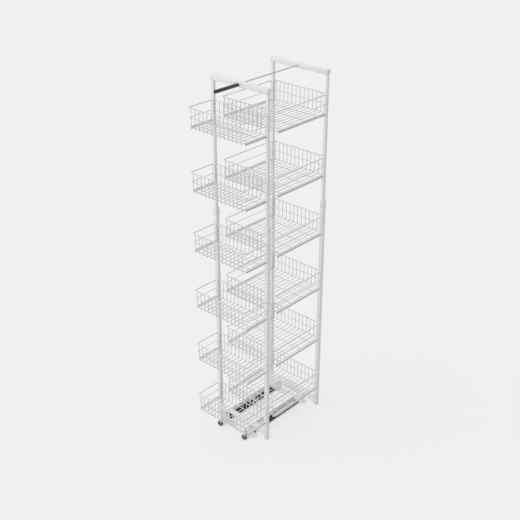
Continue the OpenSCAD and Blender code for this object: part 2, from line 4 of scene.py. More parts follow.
import bmesh
import bpy
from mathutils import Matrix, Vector

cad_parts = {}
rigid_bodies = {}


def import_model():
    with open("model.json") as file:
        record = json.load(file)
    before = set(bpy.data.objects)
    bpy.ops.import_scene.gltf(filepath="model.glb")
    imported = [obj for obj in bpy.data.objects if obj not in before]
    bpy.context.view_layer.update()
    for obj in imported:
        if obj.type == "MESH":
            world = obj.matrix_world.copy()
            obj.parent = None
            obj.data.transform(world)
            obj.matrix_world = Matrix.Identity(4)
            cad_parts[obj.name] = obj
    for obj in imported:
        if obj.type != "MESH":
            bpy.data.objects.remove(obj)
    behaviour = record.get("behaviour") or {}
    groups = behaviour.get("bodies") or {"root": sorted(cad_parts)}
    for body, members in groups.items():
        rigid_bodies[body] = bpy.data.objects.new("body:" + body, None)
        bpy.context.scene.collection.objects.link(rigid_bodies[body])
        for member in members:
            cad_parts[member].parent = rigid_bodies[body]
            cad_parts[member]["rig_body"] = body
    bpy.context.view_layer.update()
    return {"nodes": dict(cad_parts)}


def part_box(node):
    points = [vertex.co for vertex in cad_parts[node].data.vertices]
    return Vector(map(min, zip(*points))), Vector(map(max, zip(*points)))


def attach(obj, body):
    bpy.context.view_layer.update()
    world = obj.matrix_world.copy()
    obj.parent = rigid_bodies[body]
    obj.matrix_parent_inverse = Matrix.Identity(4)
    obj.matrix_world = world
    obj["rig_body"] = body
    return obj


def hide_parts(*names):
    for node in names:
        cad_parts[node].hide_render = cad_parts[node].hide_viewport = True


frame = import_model()
nodes = frame["nodes"]


# Studio: a pale floor that runs out of sight, even light from all round, and from
# the front left one broad lamp, with a fill from the same side that throws no
# shadow. The camera stands well above the unit and to the right of its front.
CAMERA_PLACE = (2.4936, -2.7496, 2.8040)
CAMERA_ABOVE = 27.509
CAMERA_ROUND = 42.237
CAMERA_LENS = 63.53
CAMERA_FAR = 200
SKY_LIGHT = 0.64
SEEN_WHITE = 0.871
LAMP_FROM = Vector((-0.446, -0.611, 0.654))
LAMP_POWER = 0.45
FILL_POWER = 0.9
LAMP_WIDTH = math.radians(50)
FLOOR_SIZE = 90
FLOOR_BELOW = 0.0004
FLOOR_SEEN = 0.947
FLOOR_BOUNCE = 0.66
FLOOR_GLOW = 0.6
FLOOR_KEEPS = 0.3


class Shade:
    """A socket in a node tree; sums and products become Math nodes."""

    def __init__(self, tree, socket=None):
        self.tree, self.socket = tree, socket

    def node(self, kind, settings=None, inputs=None, output=0):
        """Adds a node with its settings first, then its values and links."""
        made = self.tree.nodes.new("ShaderNode" + kind)
        for name, value in (settings or {}).items():
            setattr(made, name, value)
        for key, value in (inputs or {}).items():
            if isinstance(value, Shade):
                self.tree.links.new(value.socket, made.inputs[key])
            else:
                made.inputs[key].default_value = value
        return Shade(self.tree, made.outputs[output])

    def feed(self, node, name):
        """Links this value to a socket of a finished node."""
        self.tree.links.new(self.socket, self.tree.nodes[node].inputs[name])

    def between(self, first, second):
        """The colour this far on the way from the first to the second."""
        return self.node("Mix", {"data_type": "RGBA"}, {0: self, 6: first, 7: second}, 2)

    def maths(self, operation, first, second):
        return self.node("Math", {"operation": operation}, {0: first, 1: second})

    def __add__(self, other):
        return self.maths("ADD", self, other)

    def __mul__(self, other):
        return self.maths("MULTIPLY", self, other)

    __radd__ = __add__
    __rmul__ = __mul__


def seen_directly(tree):
    """1 for rays from the camera, or by way of a mirror or glass, and 0 for the light."""
    start = Shade(tree)
    camera, mirror, glass = (
        start.node("LightPath", output=f"Is {ray} Ray")
        for ray in ("Camera", "Glossy", "Transmission")
    )
    return start.maths("MAXIMUM", camera, start.maths("MAXIMUM", mirror, glass))


def grey(level):
    return (level, level, level, 1)


def deselect():
    bpy.ops.object.select_all(action="DESELECT")


def new_finish(name, even):
    """A material with the even values of its shader set, and a place to start its nodes."""
    material = bpy.data.materials.new(name)
    material.use_nodes = True
    shader = material.node_tree.nodes["Principled BSDF"]
    for socket, value in even.items():
        shader.inputs[socket].default_value = value
    return material, Shade(material.node_tree)


world = bpy.data.worlds.new("studio")
bpy.context.scene.world = world
world.use_nodes = True
air = Shade(world.node_tree)
lit = air.node("Background", None, {"Color": grey(1), "Strength": SKY_LIGHT})
seen = air.node("Background", None, {"Color": grey(1), "Strength": SEEN_WHITE})
mixed = air.node("MixShader", None, {0: seen_directly(world.node_tree), 1: lit, 2: seen})
mixed.feed("World Output", "Surface")

for power, shadow in ((LAMP_POWER, True), (FILL_POWER, False)):
    bpy.ops.object.light_add(type="SUN", location=LAMP_FROM)
    lamp = bpy.context.object
    lamp.rotation_euler = LAMP_FROM.to_track_quat("Z", "Y").to_euler()
    lamp.data.energy = power
    lamp.data.angle = LAMP_WIDTH
    lamp.data.use_shadow = shadow
    lamp.visible_glossy = False

deselect()
bpy.ops.mesh.primitive_plane_add(size=FLOOR_SIZE, location=(0, 0, -FLOOR_BELOW))
floor = bpy.context.object
floor.name = "studio_floor"
floor_paint, paint = new_finish(
    "studio_floor_paint",
    {"Roughness": 1.0, "Specular IOR Level": 0.0, "Emission Strength": 1.0},
)
seen_floor = seen_directly(paint.tree)
for socket, seen_level, bounced in (
    ("Base Color", FLOOR_SEEN * FLOOR_KEEPS, FLOOR_BOUNCE * FLOOR_KEEPS),
    ("Emission Color", SEEN_WHITE * (1 - FLOOR_KEEPS), FLOOR_GLOW * (1 - FLOOR_KEEPS)),
):
    seen_floor.between(grey(bounced), grey(seen_level)).feed("Principled BSDF", socket)
floor.data.materials.append(floor_paint)

bpy.ops.object.camera_add(
    location=CAMERA_PLACE,
    rotation=(math.radians(90 - CAMERA_ABOVE), 0, math.radians(CAMERA_ROUND)),
)
camera = bpy.context.object
camera.data.lens = CAMERA_LENS
camera.data.clip_end = CAMERA_FAR
bpy.context.scene.camera = camera
bpy.context.scene.view_settings.view_transform = "Standard"


# Frames: square steel tube, drilled for the baskets, the upper tubes joined by a
# top rail and sliding in the lower ones. All of it is powder coated a pale silver
# grey, and every cut edge is rounded over by the coat.
FRAME_GREY = (0.835, 0.838, 0.84)
COAT_EDGE = 0.0004
MERGE_GAP = 0.000001
FLAT = math.radians(1)
SMOOTH = math.radians(35)
SHARP = math.radians(40)


def tinted(colour, level):
    """The colour made lighter or darker by a factor."""
    return (*(min(1, part * level) for part in colour), 1)


def clouded(pattern, colour, dark, light):
    """Colours the finish from a darker to a lighter tint, by a pattern from 0 to 1."""
    pattern.between(tinted(colour, dark), tinted(colour, light)).feed(
        "Principled BSDF", "Base Color"
    )


def dulled(pattern, roughness, swing):
    """Makes the finish a little brighter and duller, by a pattern from 0 to 1."""
    (roughness - swing / 2 + swing * pattern).feed("Principled BSDF", "Roughness")


def raised(pattern, strength, distance):
    """Gives the finish a fine relief."""
    pattern.node(
        "Bump", None, {"Strength": strength, "Distance": distance, "Height": pattern}
    ).feed("Principled BSDF", "Normal")


def powder_coat(name, colour, roughness, shine=0.5):
    """Baked powder paint: an even colour, faint clouds and a fine orange peel."""
    material, paint = new_finish(name, {"Specular IOR Level": shine})
    place = paint.node("TexCoord", output="Object")
    peel = paint.node("TexNoise", None, {"Vector": place, "Scale": 900.0, "Detail": 2.0})
    cloud = paint.node("TexNoise", None, {"Vector": place, "Scale": 11.0, "Detail": 3.0})
    clouded(cloud, colour, dark=0.97, light=1.03)
    dulled(peel, roughness, swing=0.12)
    raised(peel, strength=0.12, distance=0.0003)
    return material


def select_only(piece):
    deselect()
    piece.select_set(True)
    bpy.context.view_layer.objects.active = piece


def modify(piece, kind, **settings):
    """Adds a modifier, sets it and applies it."""
    select_only(piece)
    modifier = piece.modifiers.new(kind.lower(), kind)
    for name, value in settings.items():
        setattr(modifier, name, value)
    bpy.ops.object.modifier_apply(modifier=modifier.name)


def round_edges(piece, width, segments=2):
    """Rounds every sharp edge, and shades the rest smooth."""
    modify(
        piece,
        "BEVEL",
        width=width,
        segments=segments,
        limit_method="ANGLE",
        angle_limit=SHARP,
    )
    bpy.ops.object.shade_smooth_by_angle(angle=SMOOTH)


def dress(piece, material):
    piece.data.materials.clear()
    piece.data.materials.append(material)


def stand_for(piece, node):
    """The piece is shown in the node's place and moves with its body."""
    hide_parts(node)
    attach(piece, nodes[node]["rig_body"])


def edged(node, material, width, segments=2):
    """A finished copy of a node's solid, merged and with its edges rounded over."""
    piece = bpy.data.objects.new(node + "_finished", nodes[node].data.copy())
    bpy.context.scene.collection.objects.link(piece)
    select_only(piece)
    bpy.ops.mesh.customdata_custom_splitnormals_clear()
    bpy.ops.object.mode_set(mode="EDIT")
    bpy.ops.mesh.select_all(action="SELECT")
    bpy.ops.mesh.remove_doubles(threshold=MERGE_GAP)
    bpy.ops.mesh.dissolve_limited(angle_limit=FLAT)
    bpy.ops.object.mode_set(mode="OBJECT")
    round_edges(piece, width, segments)
    dress(piece, material)
    stand_for(piece, node)
    return piece


frame_coat = powder_coat("frame_coat", FRAME_GREY, roughness=0.42)
corners = [f"{end}_{side}" for end in ("front", "rear") for side in ("left", "right")]
for corner in corners:
    edged("lower_post_" + corner, frame_coat, COAT_EDGE)
    edged("upper_post_" + corner, frame_coat, COAT_EDGE)
for end in ("front", "rear"):
    edged("top_rail_" + end, frame_coat, COAT_EDGE)


# Moulded fittings of the frames, in satin nylon: pale collars that close the lower
# tubes, end caps on the top rails, plugs in the feet, and dark glides on the ends
# of the upper tubes inside the lower ones.
NYLON_GREY = (0.82, 0.822, 0.827)
FOOT_GREY = (0.70, 0.70, 0.71)
GUIDE_GREY = (0.07, 0.07, 0.073)
COLLAR_EDGE = 0.0007
TOP_CAP_EDGE = 0.0008
FOOT_EDGE = 0.0006
GUIDE_EDGE = 0.0003


def moulded(name, colour, roughness, shine=0.4, grain=1700.0):
    """Moulded plastic: a spark-eroded grain, faint flow clouds and an even satin."""
    material, plastic = new_finish(name, {"Specular IOR Level": shine})
    place = plastic.node("TexCoord", output="Object")
    sparks = plastic.node("TexNoise", None, {"Vector": place, "Scale": grain, "Detail": 1.0})
    flow = plastic.node(
        "TexNoise", None, {"Vector": place, "Scale": 28.0, "Detail": 2.0, "Distortion": 0.6}
    )
    clouded(flow, colour, dark=0.94, light=1.06)
    dulled(sparks, roughness, swing=0.16)
    raised(sparks, strength=0.2, distance=0.0002)
    return material


pale_nylon = moulded("pale_nylon", NYLON_GREY, roughness=0.5)
for corner in corners:
    edged("collar_" + corner, pale_nylon, COLLAR_EDGE, segments=3)
edged("rail_end_caps", pale_nylon, TOP_CAP_EDGE, segments=3)
edged("foot_plugs", moulded("foot_nylon", FOOT_GREY, roughness=0.55), FOOT_EDGE)
edged("glide_plugs", moulded("guide_nylon", GUIDE_GREY, roughness=0.5), GUIDE_EDGE)


# Thumb screws through the bosses of the collars: zinc-plated steel, with a
# scalloped knob that stands on the boss and a short shank into the upper tube.
BOLT_ZINC = (0.88, 0.885, 0.89)
CLOUD_SHARE = 0.6
KNOB_R = 0.005
KNOB_L = 0.004
SHANK_R = 0.0025
SCALLOP = 0.87
KNOB_SIDES = 24
KNOB_RIM = 0.0012
KNOB_DISH = 0.0006
KNOB_EDGE = 0.0003
SCALLOP_EVERY = 3
TIP_RIM = 0.0005
TIP_RISE = 0.0003
FACING = 0.9
TURN_TO = {
    "X": (0, math.radians(90), 0),
    "Y": (math.radians(90), 0, 0),
    "Z": (0, 0, 0),
}


def plated_steel(name, colour, roughness, along=(1, 1, 1), metal=1.0):
    """Zinc-plated steel: drawing lines along the stock and faint cloudy passivation."""
    material, steel = new_finish(name, {"Metallic": metal})
    place = steel.node("TexCoord", output="Object")
    drawn = steel.node("Mapping", None, {"Vector": place, "Scale": along})
    line = steel.node("TexNoise", None, {"Vector": drawn, "Scale": 260.0, "Detail": 3.0})
    cloud = steel.node("TexNoise", None, {"Vector": place, "Scale": 35.0, "Detail": 4.0})
    clouded(CLOUD_SHARE * cloud + (1 - CLOUD_SHARE) * line, colour, dark=0.86, light=1.12)
    dulled(line, roughness, swing=0.2)
    raised(line, strength=0.15, distance=0.0002)
    return material


def settle(piece, name):
    """Names a new primitive and leaves its place in its mesh."""
    piece.name = name
    bpy.ops.object.transform_apply(location=True, rotation=True, scale=True)
    return piece


def cylinder(name, radius, length, centre, along="Z", sides=24):
    deselect()
    bpy.ops.mesh.primitive_cylinder_add(
        vertices=sides,
        radius=radius,
        depth=length,
        location=centre,
        rotation=TURN_TO[along],
    )
    return settle(bpy.context.object, name)


def pick(piece, kind, wanted):
    """In edit mode, selects the vertices, edges or faces that a test wants."""
    bpy.ops.mesh.select_mode(type=kind)
    bpy.ops.mesh.select_all(action="DESELECT")
    shape = bmesh.from_edit_mesh(piece.data)
    parts = {"VERT": shape.verts, "EDGE": shape.edges, "FACE": shape.faces}[kind]
    for part in parts:
        if wanted(part):
            part.select_set(True)
    shape.select_flush_mode()
    bmesh.update_edit_mesh(piece.data)


def joined(pieces, name):
    """One piece made of several."""
    deselect()
    for piece in pieces:
        piece.select_set(True)
    bpy.context.view_layer.objects.active = pieces[0]
    if len(pieces) > 1:
        bpy.ops.object.join()
    pieces[0].name = name
    return pieces[0]


def copied(piece, name, move):
    """A copy with its own mesh, moved to its place."""
    twin = piece.copy()
    twin.data = piece.data.copy()
    twin.name = name
    bpy.context.scene.collection.objects.link(twin)
    select_only(twin)
    bpy.ops.transform.translate(value=move)
    bpy.ops.object.transform_apply(location=True, rotation=True, scale=True)
    return twin


def at_places(piece, name, places):
    """The piece, made once at the origin, copied to its places and joined."""
    twins = [copied(piece, name + "_copy", place) for place in places]
    bpy.data.objects.remove(piece)
    return joined(twins, name)


bolt_zinc = plated_steel("bolt_zinc", BOLT_ZINC, roughness=0.42, metal=0.4)
knob = cylinder("knob", KNOB_R, KNOB_L, (0, -KNOB_L / 2, 0), "Y", KNOB_SIDES)
bpy.ops.object.mode_set(mode="EDIT")


def on_a_scallop(vertex):
    step = math.degrees(math.atan2(vertex.co.z, vertex.co.x)) / (360 / KNOB_SIDES)
    return round(step) % SCALLOP_EVERY == 0


pick(knob, "VERT", on_a_scallop)
bpy.ops.transform.resize(value=(SCALLOP, 1, SCALLOP), center_override=(0, 0, 0))
pick(knob, "FACE", lambda face: face.normal.y > FACING)
bpy.ops.mesh.inset(thickness=KNOB_RIM)
bpy.ops.transform.translate(value=(0, -KNOB_DISH, 0))
bpy.ops.object.mode_set(mode="OBJECT")
round_edges(knob, KNOB_EDGE)
lo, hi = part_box("clamp_screws")
collar_lo, collar_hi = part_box("collar_front_left")
rear_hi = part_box("collar_rear_left")[1]
clamp_x = (collar_lo.x + collar_hi.x) / 2
clamp_z = (lo.z + hi.z) / 2
shank_l = collar_hi.y - lo.y
shank = cylinder("shank", SHANK_R, shank_l, (0, -KNOB_L - shank_l / 2, 0), "Y")
bpy.ops.object.mode_set(mode="EDIT")
pick(shank, "FACE", lambda face: face.normal.y < -FACING)
bpy.ops.mesh.inset(thickness=TIP_RIM)
bpy.ops.transform.translate(value=(0, -TIP_RISE, 0))
bpy.ops.object.mode_set(mode="OBJECT")
clamp_screw = joined([knob, shank], "clamp_screw")
clamp_screws = at_places(
    clamp_screw,
    "thumb_screws",
    [
        (side * abs(clamp_x), back + KNOB_L, clamp_z)
        for side in (-1, 1)
        for back in (collar_hi.y, rear_hi.y)
    ],
)
dress(clamp_screws, bolt_zinc)
stand_for(clamp_screws, "clamp_screws")


# Runners: two three-part ball runners of zinc-plated strip on pressed floor plates,
# with the pale coated cross plates of the frames on them. Moulded caps, the front
# ones with dark noses, dark covers and pale and grey strips are clipped on.
RAIL_STEEL = (0.92, 0.925, 0.93)
PLATE_PALE = (0.93, 0.93, 0.935)
CAGE_STEEL = (0.50, 0.505, 0.515)
NOSE_GREY = (0.088, 0.09, 0.093)
NOSE_BACK = -0.197
COVER_BLACK = (0.018, 0.018, 0.02)
STRIP_GREY = (0.50, 0.505, 0.515)
STRIP_PALE = (0.92, 0.922, 0.93)
RUBBER_BLACK = (0.014, 0.014, 0.014)
ALONG_RUNNER = (1.0, 0.02, 1.0)
PLATE_EDGE = 0.0005
CAP_EDGE = 0.0005
COVER_EDGE = 0.0003
STRIP_EDGE = 0.0002


def middle(face):
    return sum((vertex.co for vertex in face.verts), Vector()) / len(face.verts)


rail_zinc = plated_steel(
    "rail_zinc", RAIL_STEEL, roughness=0.36, along=ALONG_RUNNER, metal=0.5
)
cage_steel = plated_steel("cage_steel", CAGE_STEEL, roughness=0.26)
for side in ("left", "right"):
    for name in ("floor_rail_", "middle_rail_", "moving_rail_"):
        dress(nodes[name + side], rail_zinc)
    for name in ("lower_ball_cage_", "upper_ball_cage_"):
        dress(nodes[name + side], cage_steel)
plate_coat = powder_coat("plate_coat", PLATE_PALE, roughness=0.5)
for end in ("front", "rear"):
    edged("floor_plate_" + end, plate_coat, PLATE_EDGE)
    edged("cross_plate_" + end, plate_coat, COAT_EDGE)
cap_plastic = moulded("cap_plastic", STRIP_PALE, roughness=0.45, shine=0.3)
nose_plastic = moulded("nose_plastic", NOSE_GREY, roughness=0.45, shine=0.3)
for corner in corners:
    cap = edged("rail_shoe_" + corner, cap_plastic, CAP_EDGE)
    if corner.startswith("front"):
        cap.data.materials.append(nose_plastic)
        bpy.ops.object.mode_set(mode="EDIT")
        bpy.ops.mesh.select_all(action="SELECT")
        bpy.ops.mesh.bisect(plane_co=(0, NOSE_BACK, 0), plane_no=(0, 1, 0))
        pick(cap, "FACE", lambda face: middle(face).y < NOSE_BACK)
        cap.active_material_index = 1
        bpy.ops.object.material_slot_assign()
        bpy.ops.object.mode_set(mode="OBJECT")
cover_black = moulded("cover_black", COVER_BLACK, roughness=0.5, shine=0.22)
for side in ("left", "right"):
    edged("rail_cover_" + side, cover_black, COVER_EDGE)
edged("cover_strips", moulded("strip_pale", STRIP_PALE, roughness=0.4), COVER_EDGE)
edged("top_strips", moulded("strip_grey", STRIP_GREY, roughness=0.5), STRIP_EDGE)
rubber = moulded("buffer_rubber", RUBBER_BLACK, roughness=0.8, shine=0.2, grain=700.0)
dress(nodes["rail_buffers"], rubber)


# Screws and bolts of zinc-plated steel. Pan heads with a cross recess hold the
# cross plates on the runners, and button heads with a hexagon socket hold the
# baskets to the tubes.
SOCKET_DEPTH = 0.0014
HEAD_SIDES = 32
BUTTON_DOME = 0.55
KEY_SHARE = 0.5
PAN_DOME = 0.6
CROSS_LONG = 1.1
CROSS_WIDE = 0.28
TIP_ROUND = 0.2
PAN_R = 0.005
PAN_SHANK_R = 0.0025
CROSS_PLATE_T = 0.0025
BOLT_HEAD_R = 0.0044
BOLT_HEAD_L = 0.0026
BOLT_SHANK_R = 0.0025
LOWER_ROWS = 4
UPPER_ROWS = 2


def box_at(name, centre, size):
    deselect()
    bpy.ops.mesh.primitive_cube_add(size=1, location=centre, scale=size)
    return settle(bpy.context.object, name)


def cut(piece, tool):
    """Takes the tool's shape out of the piece."""
    modify(piece, "BOOLEAN", object=tool, operation="DIFFERENCE", solver="EXACT")
    bpy.data.objects.remove(tool)


def domed(piece, top, width, axis=1):
    """Rounds the outer edge of a head that faces along an axis at a height."""
    select_only(piece)
    bpy.ops.object.mode_set(mode="EDIT")
    pick(
        piece,
        "EDGE",
        lambda edge: all(abs(end.co[axis] - top) < MERGE_GAP for end in edge.verts),
    )
    bpy.ops.mesh.bevel(offset=width, segments=4, profile=0.5)
    bpy.ops.object.mode_set(mode="OBJECT")


def socket_bolt(name, head_r, head_l, shank_r, shank_l):
    """A button head with a hexagon socket, its seat at the origin, along Y."""
    head = cylinder("head", head_r, head_l, (0, head_l / 2, 0), "Y", HEAD_SIDES)
    domed(head, head_l, head_l * BUTTON_DOME)
    key_r, key_l = head_r * KEY_SHARE, 2 * SOCKET_DEPTH
    cut(head, cylinder("key", key_r, key_l, (0, head_l, 0), "Y", sides=6))
    bpy.ops.object.shade_smooth_by_angle(angle=SMOOTH)
    body = cylinder("body", shank_r, shank_l, (0, -shank_l / 2, 0), "Y")
    domed(body, -shank_l, shank_r * TIP_ROUND)
    bpy.ops.object.shade_smooth_by_angle(angle=SMOOTH)
    return joined([head, body], name)


def cross_screw(name, head_r, head_l, shank_r, shank_l):
    """A pan head with a cross recess, its seat at the origin, upright."""
    head = cylinder("head", head_r, head_l, (0, 0, head_l / 2), "Z", HEAD_SIDES)
    domed(head, head_l, head_l * PAN_DOME, axis=2)
    for across, along in ((CROSS_LONG, CROSS_WIDE), (CROSS_WIDE, CROSS_LONG)):
        slot_size = (head_r * across, head_r * along, 2 * SOCKET_DEPTH)
        cut(head, box_at("driver", (0, 0, head_l), slot_size))
    select_only(head)
    bpy.ops.object.shade_smooth_by_angle(angle=SMOOTH)
    body = cylinder("body", shank_r, shank_l, (0, 0, -shank_l / 2), "Z")
    bpy.ops.object.shade_smooth_by_angle(angle=SMOOTH)
    return joined([head, body], name)


plate_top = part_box("moving_rail_left")[1].z + CROSS_PLATE_T
screw_lo, screw_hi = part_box("carriage_screws")
rail_lo, rail_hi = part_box("moving_rail_right")
runner_x = (rail_lo.x + rail_hi.x) / 2
carriage = cross_screw(
    "carriage", PAN_R, screw_hi.z - plate_top, PAN_SHANK_R, plate_top - screw_lo.z
)
carriage_screws = at_places(
    carriage,
    "cross_plate_screws",
    [
        (side * runner_x, end_y, plate_top)
        for side in (-1, 1)
        for end_y in (screw_lo.y + PAN_R, screw_hi.y - PAN_R)
    ],
)
dress(carriage_screws, bolt_zinc)
stand_for(carriage_screws, "carriage_screws")

for part, rows in (("lower", LOWER_ROWS), ("upper", UPPER_ROWS)):
    lo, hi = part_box(part + "_basket_bolts")
    tube_lo, tube_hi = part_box(part + "_post_front_right")
    rear_tube_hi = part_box(part + "_post_rear_right")[1]
    base = lo.z + BOLT_HEAD_R
    pitch = (hi.z - lo.z - 2 * BOLT_HEAD_R) / (rows - 1)
    post_x = (tube_lo.x + tube_hi.x) / 2
    bolt = socket_bolt("bolt", BOLT_HEAD_R, BOLT_HEAD_L, BOLT_SHANK_R, tube_hi.y - lo.y)
    bolts = at_places(
        bolt,
        part + "_socket_bolts",
        [
            (side * post_x, back, base + pitch * step)
            for side in (-1, 1)
            for back in (tube_hi.y, rear_tube_hi.y)
            for step in range(rows)
        ],
    )
    dress(bolts, bolt_zinc)
    stand_for(bolts, part + "_basket_bolts")


# Top arm: black-coated square tube, plugged at both ends. Its front end is tapped
# for the panel and two black screws from inside the top rail hold its rear end.
# A plated rod with two nuts ties the top rails together.
ARM_BLACK = (0.05, 0.05, 0.053)
ARM_HEAD_R = 0.0027
ARM_HEAD_L = 0.002
ARM_SHANK_R = 0.0015
ARM_EDGE = 0.0005
ROD_STEEL = (0.52, 0.525, 0.54)
NUT_R = 0.0055
NUT_T = 0.005
NUT_EDGE = 0.0005
ROD_R = 0.003
ROD_SIDES = 24
WIRE_SIDES = 12
BEND_STEPS = 6


def wire(name, start, heading, radius, moves, sides=WIRE_SIDES):
    """A round wire drawn from its start through straight runs and bends."""
    deselect()
    bpy.ops.mesh.primitive_circle_add(
        vertices=sides, radius=radius, location=start, rotation=TURN_TO[heading]
    )
    piece = settle(bpy.context.object, name)
    bpy.ops.object.mode_set(mode="EDIT")
    bpy.ops.mesh.select_mode(type="VERT")
    bpy.ops.mesh.select_all(action="SELECT")
    for move in moves:
        if isinstance(move[0], tuple):
            centre, axis = move
            bpy.ops.mesh.spin(
                steps=BEND_STEPS, angle=-math.radians(90), center=centre, axis=axis
            )
        else:
            bpy.ops.mesh.extrude_region_move(TRANSFORM_OT_translate={"value": move})
    bpy.ops.mesh.select_all(action="SELECT")
    bpy.ops.mesh.remove_doubles(threshold=MERGE_GAP)
    bpy.ops.mesh.fill_holes(sides=0)
    bpy.ops.mesh.normals_make_consistent(inside=False)
    bpy.ops.object.mode_set(mode="OBJECT")
    bpy.ops.object.shade_smooth_by_angle(angle=SHARP)
    return piece


arm_black = powder_coat("arm_black", ARM_BLACK, roughness=0.45, shine=0.3)
edged("top_arm", arm_black, ARM_EDGE)
lo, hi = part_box("arm_screws")
arm_screw = socket_bolt(
    "arm_screw", ARM_HEAD_R, ARM_HEAD_L, ARM_SHANK_R, hi.y - lo.y - ARM_HEAD_L
)
arm_screws = at_places(
    arm_screw,
    "arm_socket_screws",
    [
        (side * (hi.x - ARM_HEAD_R), hi.y - ARM_HEAD_L, (lo.z + hi.z) / 2)
        for side in (-1, 1)
    ],
)
dress(arm_screws, arm_black)
stand_for(arm_screws, "arm_screws")

lo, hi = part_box("tie_rod")
rod_z = (lo.z + hi.z) / 2
rod = wire("rod", (0, lo.y, rod_z), "Y", ROD_R, [(0, hi.y - lo.y, 0)], ROD_SIDES)
nuts = []
for end_y, open_face in ((lo.y, lo.y + NUT_T), (hi.y - NUT_T, hi.y - NUT_T)):
    nut = cylinder("nut", NUT_R, NUT_T, (0, end_y + NUT_T / 2, rod_z), "Y", sides=6)
    domed(nut, open_face, NUT_EDGE)
    nuts.append(nut)
dress(rod, plated_steel("rod_zinc", ROD_STEEL, roughness=0.3))
for nut in nuts:
    dress(nut, bolt_zinc)
tie = joined([rod, *nuts], "tie_rod_and_nuts")
stand_for(tie, "tie_rod")


# Baskets: satin chromed wire, resistance welded. Thirteen wires run up the front
# wall, along the floor and up the rear wall, which stands between the tubes. Rim,
# belt and a rolled rail run along each side to a coated tab bolted to the tube.
CHROME = (0.73, 0.735, 0.74)
CHROME_METAL = 0.3
WELD_LEVEL = 0.94
RAIL_SILVER = (0.85, 0.853, 0.857)
GROOVE_PAINTED_SHADE = (0.60, 0.605, 0.615)
FRONT_DEPTH = 0.148
FRONT_SIDES = 0.137
FRONT_CROSSES = 2
REAR_DEPTH = 0.335
REAR_SIDES = 0.315
REAR_CROSSES = 4
BASKET_HALF = 0.1575
REAR_HALF = 0.143
MESH_HALF = 0.1403
BASKET_TOP = 0.092
RIM_R = 0.0025
MESH_R = 0.0017
CORNER_R = 0.006
MESH_BEND = 0.0026
MESH_COUNT = 13
BELT_IN = 0.0028
CROSS_Z = 0.0004
RAIL_BOTTOM = -0.004
RAIL_TOP = 0.008
RAIL_IN = 0.1525
RAIL_OUT = 0.1565
RAIL_START = 0.012
RAIL_LIP = 0.0024
RAIL_GROOVE = 0.0016
RAIL_EDGE = 0.0005
GROOVE_SLACK = 0.0006
GROOVE_REACH = 0.0001
RIM_SIDES = 16
END_ROUND = 0.3
FILLET_R = MESH_R * 0.98
FILLET_RISES = ((0.0007, 1.12), (0.0006, 1.18))
FILLET_BELOW = 0.0009
BELT_NUGGET = (1.25, 0.9, 1.25)
FLOOR_NUGGET = (1.25, 1.25, 0.8)
TAB_W = 0.016
TAB_HOLE_Z = 0.019
TAB_HOLE_R = 0.00265
TAB_CORNER = 0.003


def chrome(name, colour, roughness):
    """Satin chrome over round wire, a little cloudier where the bath ran off."""
    material, plating = new_finish(name, {"Metallic": CHROME_METAL})
    place = plating.node("TexCoord", output="Object")
    cloud = plating.node("TexNoise", None, {"Vector": place, "Scale": 40.0, "Detail": 3.0})
    grain = plating.node("TexNoise", None, {"Vector": place, "Scale": 1500.0, "Detail": 1.0})
    clouded(cloud, colour, dark=0.93, light=1.07)
    dulled(cloud, roughness, swing=0.1)
    raised(grain, strength=0.08, distance=0.0001)
    return material


def in_a_row(piece, count, step):
    modify(
        piece,
        "ARRAY",
        count=count,
        use_relative_offset=False,
        use_constant_offset=True,
        constant_offset_displace=step,
    )


def side_wires(name, z, radius, inset, side_depth, sides):
    """One wire along the left side, round the front and back along the right side."""
    straight = BASKET_HALF - RIM_R - CORNER_R
    bend_y = RIM_R + inset + CORNER_R
    return wire(
        name,
        (-straight - CORNER_R, side_depth, z),
        "Y",
        radius,
        [
            (0, bend_y - side_depth, 0),
            ((-straight, bend_y, z), (0, 0, 1)),
            (2 * straight, 0, 0),
            ((straight, bend_y, z), (0, 0, 1)),
            (0, side_depth - bend_y, 0),
        ],
        sides,
    )


def rear_wire(name, y, z, radius, sides):
    """A straight wire along the rear wall, its ends rounded over."""
    piece = wire(name, (-REAR_HALF, y, z), "X", radius, [(2 * REAR_HALF, 0, 0)], sides)
    for end in (-REAR_HALF, REAR_HALF):
        domed(piece, end, radius * END_ROUND, axis=0)
    return piece


def foot_wire(y):
    """A straight wire welded into a bottom corner of the mesh."""
    reach = MESH_HALF + MESH_R
    piece = wire("foot", (-reach, y, 3 * MESH_R), "X", MESH_R, [(2 * reach, 0, 0)])
    for end in (-reach, reach):
        domed(piece, end, MESH_R * END_ROUND, axis=0)
    return piece


def mesh_wires(depth):
    """The upright and floor wires, each one wire bent twice."""
    front, rear = RIM_R, depth - RIM_R
    rim_z, low = BASKET_TOP - RIM_R, MESH_R + MESH_BEND
    piece = wire(
        "mesh",
        (-MESH_HALF, front, rim_z),
        "Z",
        MESH_R,
        [
            (0, 0, low - rim_z),
            ((-MESH_HALF, front + MESH_BEND, low), (1, 0, 0)),
            (0, rear - front - 2 * MESH_BEND, 0),
            ((-MESH_HALF, rear - MESH_BEND, low), (1, 0, 0)),
            (0, 0, rim_z - low),
        ],
    )
    in_a_row(piece, MESH_COUNT, (2 * MESH_HALF / (MESH_COUNT - 1), 0, 0))
    return piece


